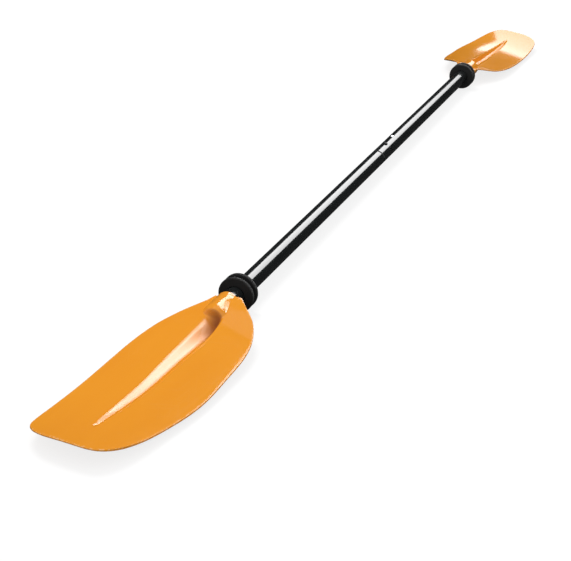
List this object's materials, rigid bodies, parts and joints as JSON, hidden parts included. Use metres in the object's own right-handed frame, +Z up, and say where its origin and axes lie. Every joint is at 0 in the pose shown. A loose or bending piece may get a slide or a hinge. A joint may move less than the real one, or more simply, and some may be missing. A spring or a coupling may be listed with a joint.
{
  "type": "kayak paddle",
  "caption": "Take-apart kayak paddle: glossy orange asymmetric blades on a black round shaft, with a snap-button ferrule and sliding rubber drip rings.",
  "frame": {"origin": "on the surface the paddle lies on, below the middle of its length and on the shaft's centre plane", "axes": "+X along the shaft from the near blade to the far blade, +Z up out of both power faces"},
  "size_m": [2.194, 0.164, 0.056],
  "materials": {
    "blade_orange": "glossy injection-moulded nylon, orange",
    "shaft_black": "gloss black coated alloy tube",
    "ring_rubber": "satin black rubber",
    "sleeve_black": "dark glass-fibre sleeve",
    "liner_nylon": "dark nylon bush",
    "button_steel": "dull stainless steel",
    "spring_steel": "bright spring strip",
    "rivet_alloy": "bare blind rivet",
    "plug_plastic": "black plastic plug",
    "bung_foam": "grey closed-cell foam"
  },
  "bodies": {
    "near_half": {"near_blade": "blade_orange", "near_shaft_tube": "shaft_black", "near_blade_rivet_a": "rivet_alloy", "near_blade_rivet_b": "rivet_alloy", "near_end_plug": "plug_plastic", "near_float_bung": "bung_foam", "ferrule_sleeve": "sleeve_black", "ferrule_rivet_a": "rivet_alloy", "ferrule_rivet_b": "rivet_alloy", "snap_spring": "spring_steel"},
    "snap_button": {"snap_button": "button_steel"},
    "near_drip_ring": {"near_drip_ring": "ring_rubber"},
    "seam_washer": {"seam_washer": "ring_rubber"},
    "far_half": {"far_blade": "blade_orange", "far_shaft_tube": "shaft_black", "far_blade_rivet_a": "rivet_alloy", "far_blade_rivet_b": "rivet_alloy", "far_end_plug": "plug_plastic", "far_float_bung": "bung_foam", "ferrule_liner": "liner_nylon", "liner_rivet_a": "rivet_alloy", "liner_rivet_b": "rivet_alloy"},
    "far_drip_ring": {"far_drip_ring": "ring_rubber"}
  },
  "joints": [
    {"name": "near_ring_slide", "type": "slide", "parent": "near_half", "child": "near_drip_ring", "axis": [1, 0, 0], "range_m": [-0.0247, 0.35]},
    {"name": "button_press", "type": "slide", "parent": "near_half", "child": "snap_button", "axis": [0, 0, -1], "range_m": [0, 0.0057], "stiffness_N_per_m": 1000, "springref_m": -0.01, "deforming": ["snap_spring", "snap_button"]},
    {"name": "feather", "type": "hinge", "parent": "near_half", "child": "seam_washer", "pos_m": [0.019, 0, 0.028], "axis": [1, 0, 0], "range_deg": [-60, 60]},
    {"name": "pull_apart", "type": "slide", "parent": "seam_washer", "child": "far_half", "axis": [1, 0, 0], "range_m": [0, 0.12]},
    {"name": "far_ring_slide", "type": "slide", "parent": "far_half", "child": "far_drip_ring", "axis": [1, 0, 0], "range_m": [-0.35, 0.0147]}
  ]
}
